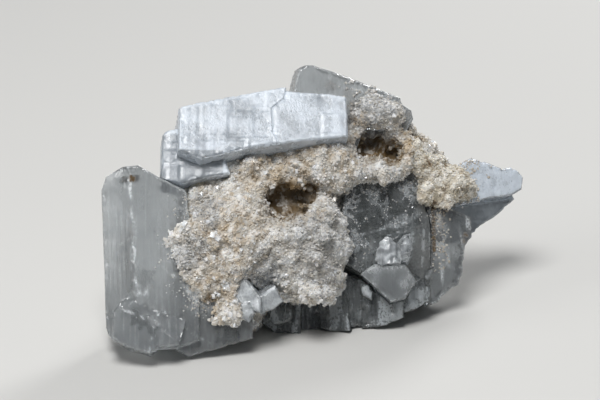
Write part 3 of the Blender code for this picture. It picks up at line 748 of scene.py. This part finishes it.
# Sugary druse barite: crystals too small to look clear, so that it is a soft white that glitters.
sugary = sugary_barite("sugary_druse_barite", white="f2f0ec", beige="d0cac0", tan="c0aa8b",
                       brown="75603f", grey="a9aaab")
bm = melted("matrix_druse", MELT)
points, valley = clumped(bm, swell=0.75, seed=90, raised=ledges)
face = np.array([vert.normal for vert in bm.verts])
toward = smooth((face @ np.array(OUT) + 0.35) / 0.5)
hollow = np.clip(hollows(points), 0.0, 1.0)
warm = blotches(points, [(-4.0, 45.5, 12.0, 0.7), (-18.0, 28.0, 8.0, 0.7), (-20.0, 16.0, 6.0, 0.7),
                         (22.0, 48.0, 4.0, 0.9), (9.5, 53.0, 3.0, 0.8)], tear=0.9, seed=91)
warm = np.maximum(warm, 0.4 * smooth(noise_at(points, 6.0, 92) * 2.0))
rusty = blotches(points, [(-12.5, 41.5, 1.2, 0.8), (-22.3, 13.8, 1.3, 0.9), (9.2, 54.0, 1.4, 0.8),
                          (-19.5, 22.5, 1.2, 0.6), (9.0, 49.0, 1.0, 0.7)], tear=0.9, seed=94)
# Brown for the rusty spots, and brown painted shade in the hollows and between the clumps.
stain = np.maximum(np.maximum(rusty, 1.7 * hollow), 0.35 * smooth((valley - 0.55) / 0.2)
                   * smooth(0.1 + 1.5 * noise_at(points, 4.0, 93)))
grey = blotches(points, [(-22.7, 33.0, 3.0, 0.9), (-10.0, 18.7, 4.0, 1.0), (3.0, 26.0, 8.0, 0.7),
                         (-27.0, 24.0, 4.0, 0.7), (15.0, 56.0, 6.0, 0.9)], tear=0.9, seed=95)
crust = np.where([vert.co.z > BARE_FOOT * MM for vert in bm.verts], 1.0, 0.0) * (1.0 - 0.75 * hollow)
# Where the crystals painted almost white as glints stand, and a few anywhere.
glint = 0.02 + blotches(points, [(-19.2, 16.7, 1.1, 1.0), (-20.8, 14.7, 0.6, 1.0), (-12.6, 7.9, 0.7, 1.0),
                                 (-20.8, 27.6, 0.7, 1.0), (-12.2, 40.8, 0.5, 0.8)], tear=0.6, seed=101)
# The deep values paint shade: the skin turns beige the deeper it lies between the clumps.
matrix = piece_from(bm, "matrix_rock", sugary, warm=warm, stain=stain, grey=grey,
                    glint=glint * crust * toward, deep=smooth((valley - 0.3) / 0.5),
                    tone=0.5 + 0.5 * noise_at(points, 0.9, 96),
                    crust_front=crust * toward, crust_back=crust * (1.0 - toward))
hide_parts("matrix_druse")
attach(matrix, "root")

# The druse: loose sugar-like crystals that stand on the matrix, a few large ones among them
# painted almost white as glints, and finer crumbs of the same barite that grew on the big
# crystals beside it.

MOST_CRYSTALS = 6.0e6           # a square metre, before the spacing thins them out


def crystal_scatter():
    """The tree of nodes that strews small crystals over a surface, as thick as its crust value."""
    tree = bpy.data.node_groups.new("crystal_scatter", "GeometryNodeTree")
    face = tree.interface
    face.new_socket("Surface", in_out="INPUT", socket_type="NodeSocketGeometry")
    face.new_socket("Crystals", in_out="OUTPUT", socket_type="NodeSocketGeometry")
    for name in ("Spacing", "Smallest", "Largest"):
        face.new_socket(name, in_out="INPUT", socket_type="NodeSocketFloat")
    face.new_socket("Seed", in_out="INPUT", socket_type="NodeSocketInt")
    face.new_socket("Where", in_out="INPUT", socket_type="NodeSocketString")
    face.new_socket("Material", in_out="INPUT", socket_type="NodeSocketMaterial")
    given = add(tree, "NodeGroupInput").outputs
    thickness = add(tree, "GeometryNodeInputNamedAttribute", {"Name": given["Where"]},
                    data_type="FLOAT")
    points = add(tree, "GeometryNodeDistributePointsOnFaces",
                 {"Mesh": given["Surface"], "Distance Min": given["Spacing"],
                  "Density Max": MOST_CRYSTALS, "Density Factor": thickness.outputs[0],
                  "Seed": given["Seed"]}, distribute_method="POISSON")
    habits = add(tree, "GeometryNodeGeometryToInstance")
    tablet = add(tree, "GeometryNodeMeshCube", {"Size": (1.0, 0.8, 0.6)})
    chisel = add(tree, "GeometryNodeMeshCone", {"Vertices": 4, "Radius Top": 0.3, "Radius Bottom": 0.55,
                                                "Depth": 0.7})
    chip = add(tree, "GeometryNodeMeshIcoSphere", {"Radius": 0.5, "Subdivisions": 1})
    flat_chip = add(tree, "GeometryNodeTransform", {"Geometry": chip.outputs[0],
                                                    "Scale": (1.0, 0.85, 0.7)})
    for habit in (flat_chip, chisel, tablet):
        tree.links.new(habit.outputs[0], habits.inputs[0])
    turn = add(tree, "FunctionNodeRandomValue", {0: (-0.6, -0.6, -3.2), 1: (0.6, 0.6, 3.2),
                                                 "Seed": given["Seed"]}, data_type="FLOAT_VECTOR")
    tilt = add(tree, "FunctionNodeEulerToRotation", {0: turn.outputs[0]})
    turned = add(tree, "FunctionNodeRotateRotation", {0: points.outputs["Rotation"], 1: tilt.outputs[0]},
                 rotation_space="LOCAL")
    size = add(tree, "FunctionNodeRandomValue", {2: given["Smallest"], 3: given["Largest"],
                                                 "Seed": given["Seed"]}, data_type="FLOAT")
    kind = add(tree, "FunctionNodeRandomValue", {4: 0, 5: 2, "Seed": given["Seed"]}, data_type="INT")
    strewn = add(tree, "GeometryNodeInstanceOnPoints",
                 {"Points": points.outputs[0], "Instance": habits.outputs[0], "Pick Instance": True,
                  "Instance Index": kind.outputs[2], "Rotation": turned.outputs[0],
                  "Scale": size.outputs[1]})
    shade = add(tree, "FunctionNodeRandomValue", {2: 0.0, 3: 1.0, "Seed": given["Seed"]},
                data_type="FLOAT")
    toned = add(tree, "GeometryNodeStoreNamedAttribute",
                {"Geometry": strewn.outputs[0], "Name": "tone", "Value": shade.outputs[1]},
                data_type="FLOAT", domain="INSTANCE")
    solid = add(tree, "GeometryNodeRealizeInstances", {0: toned.outputs[0]})
    made = add(tree, "GeometryNodeSetMaterial", {"Geometry": solid.outputs[0],
                                                 "Material": given["Material"]})
    add(tree, "NodeGroupOutput", {0: made.outputs[0]})
    return tree


def strewn(name, surface, scatter, material, spacing, smallest, largest, seed, where="crust"):
    """The small crystals that stand on a piece, as one plain mesh of their own."""
    carrier = surface.copy()
    carrier.data = surface.data.copy()
    carrier.parent = None
    bpy.context.scene.collection.objects.link(carrier)
    modifier = carrier.modifiers.new("scatter", "NODES")
    modifier.node_group = scatter
    values = {"Spacing": spacing * MM, "Smallest": smallest * MM, "Largest": largest * MM,
              "Seed": seed, "Where": where, "Material": material}
    for item in scatter.interface.items_tree:
        if item.name in values:
            modifier[item.identifier] = values[item.name]
    bpy.context.view_layer.update()
    mesh = bpy.data.meshes.new_from_object(
        carrier.evaluated_get(bpy.context.evaluated_depsgraph_get()))
    bpy.data.objects.remove(carrier)
    mesh.name = name
    item = bpy.data.objects.new(name, mesh)
    bpy.context.scene.collection.objects.link(item)
    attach(item, "root")
    return item


# Glinting druse barite: smoother faces than the rest, so that they catch the lamps, and painted
# almost pure white as a painted highlight.
glinting = sugary_barite("glinting_druse_barite", white="ffffff", beige="f4f4f2", tan="f4f4f2",
                         brown="b5a183", grey="f4f4f2", smoothest=0.05, roughest=0.12)
scatter = crystal_scatter()
# The numbers are the spacing, the smallest and the largest size in mm, and the seed.
strewn("front_druse", matrix, scatter, sugary, 0.49, 0.35, 0.8, 5, where="crust_front")
strewn("front_druse_coarse", matrix, scatter, sugary, 2.4, 0.8, 1.3, 6, where="crust_front")
strewn("front_druse_glints", matrix, scatter, glinting, 0.6, 0.7, 1.3, 14, where="glint")
strewn("back_druse", matrix, scatter, sugary, 0.9, 0.7, 1.4, 7, where="crust_back")
strewn("crumbs_on_left_slab", left_slab, scatter, sugary, 0.3, 0.2, 0.5, 12)
strewn("crumbs_on_back_crystal", back_crystal, scatter, sugary, 0.45, 0.4, 0.9, 8)
strewn("crumbs_on_grey_crystal", grey_crystal, scatter, sugary, 0.27, 0.2, 0.45, 9)
strewn("crumbs_on_right_slab", right_slab, scatter, sugary, 0.35, 0.25, 0.6, 10)
strewn("crumbs_on_right_point", right_point, scatter, sugary, 0.35, 0.25, 0.7, 11)

# The cream crust: soft-looking lumps of cream barite over the root of the right-hand point, and
# smaller ones up to the cave, specked with brown. They grew last, over the older crystals.

CREAM_MELT = 0.32               # mm, between the points of the crust's skin
GREY_START = 34.0               # leaning mm, where its right end turns grey

# Cream crust barite: iron tints its tiny crystals, so that it looks matt and sandy.
cream = sugary_barite("cream_crust_barite", white="ece6da", beige="cdc2ae", tan="c0a680",
                      brown="6b5234", grey="aaa8a2")
bm = melted("cream_crust", CREAM_MELT)
points, valley = clumped(bm, swell=0.95, seed=110)
# Browner between the clumps, partly as brown specks and partly as painted shade; the deep values paint
# shade there as beige.
stain = smooth((valley - 0.5) / 0.2) * smooth(0.4 + 2.0 * noise_at(points, 2.0, 111))
cream_crust = piece_from(bm, "cream_crust_lumps", cream, warm=0.6 * smooth(noise_at(points, 3.0, 112)),
                         stain=stain, grey=smooth((points[:, 0] - GREY_START) / 4.0) * 0.7,
                         deep=smooth((valley - 0.3) / 0.5), crust=np.ones(len(points)),
                         tone=0.5 + 0.5 * noise_at(points, 0.9, 113))
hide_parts("cream_crust")
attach(cream_crust, "root")
cream_grains = strewn("cream_crust_grains", cream_crust, scatter, cream, 0.42, 0.35, 0.75, 13)
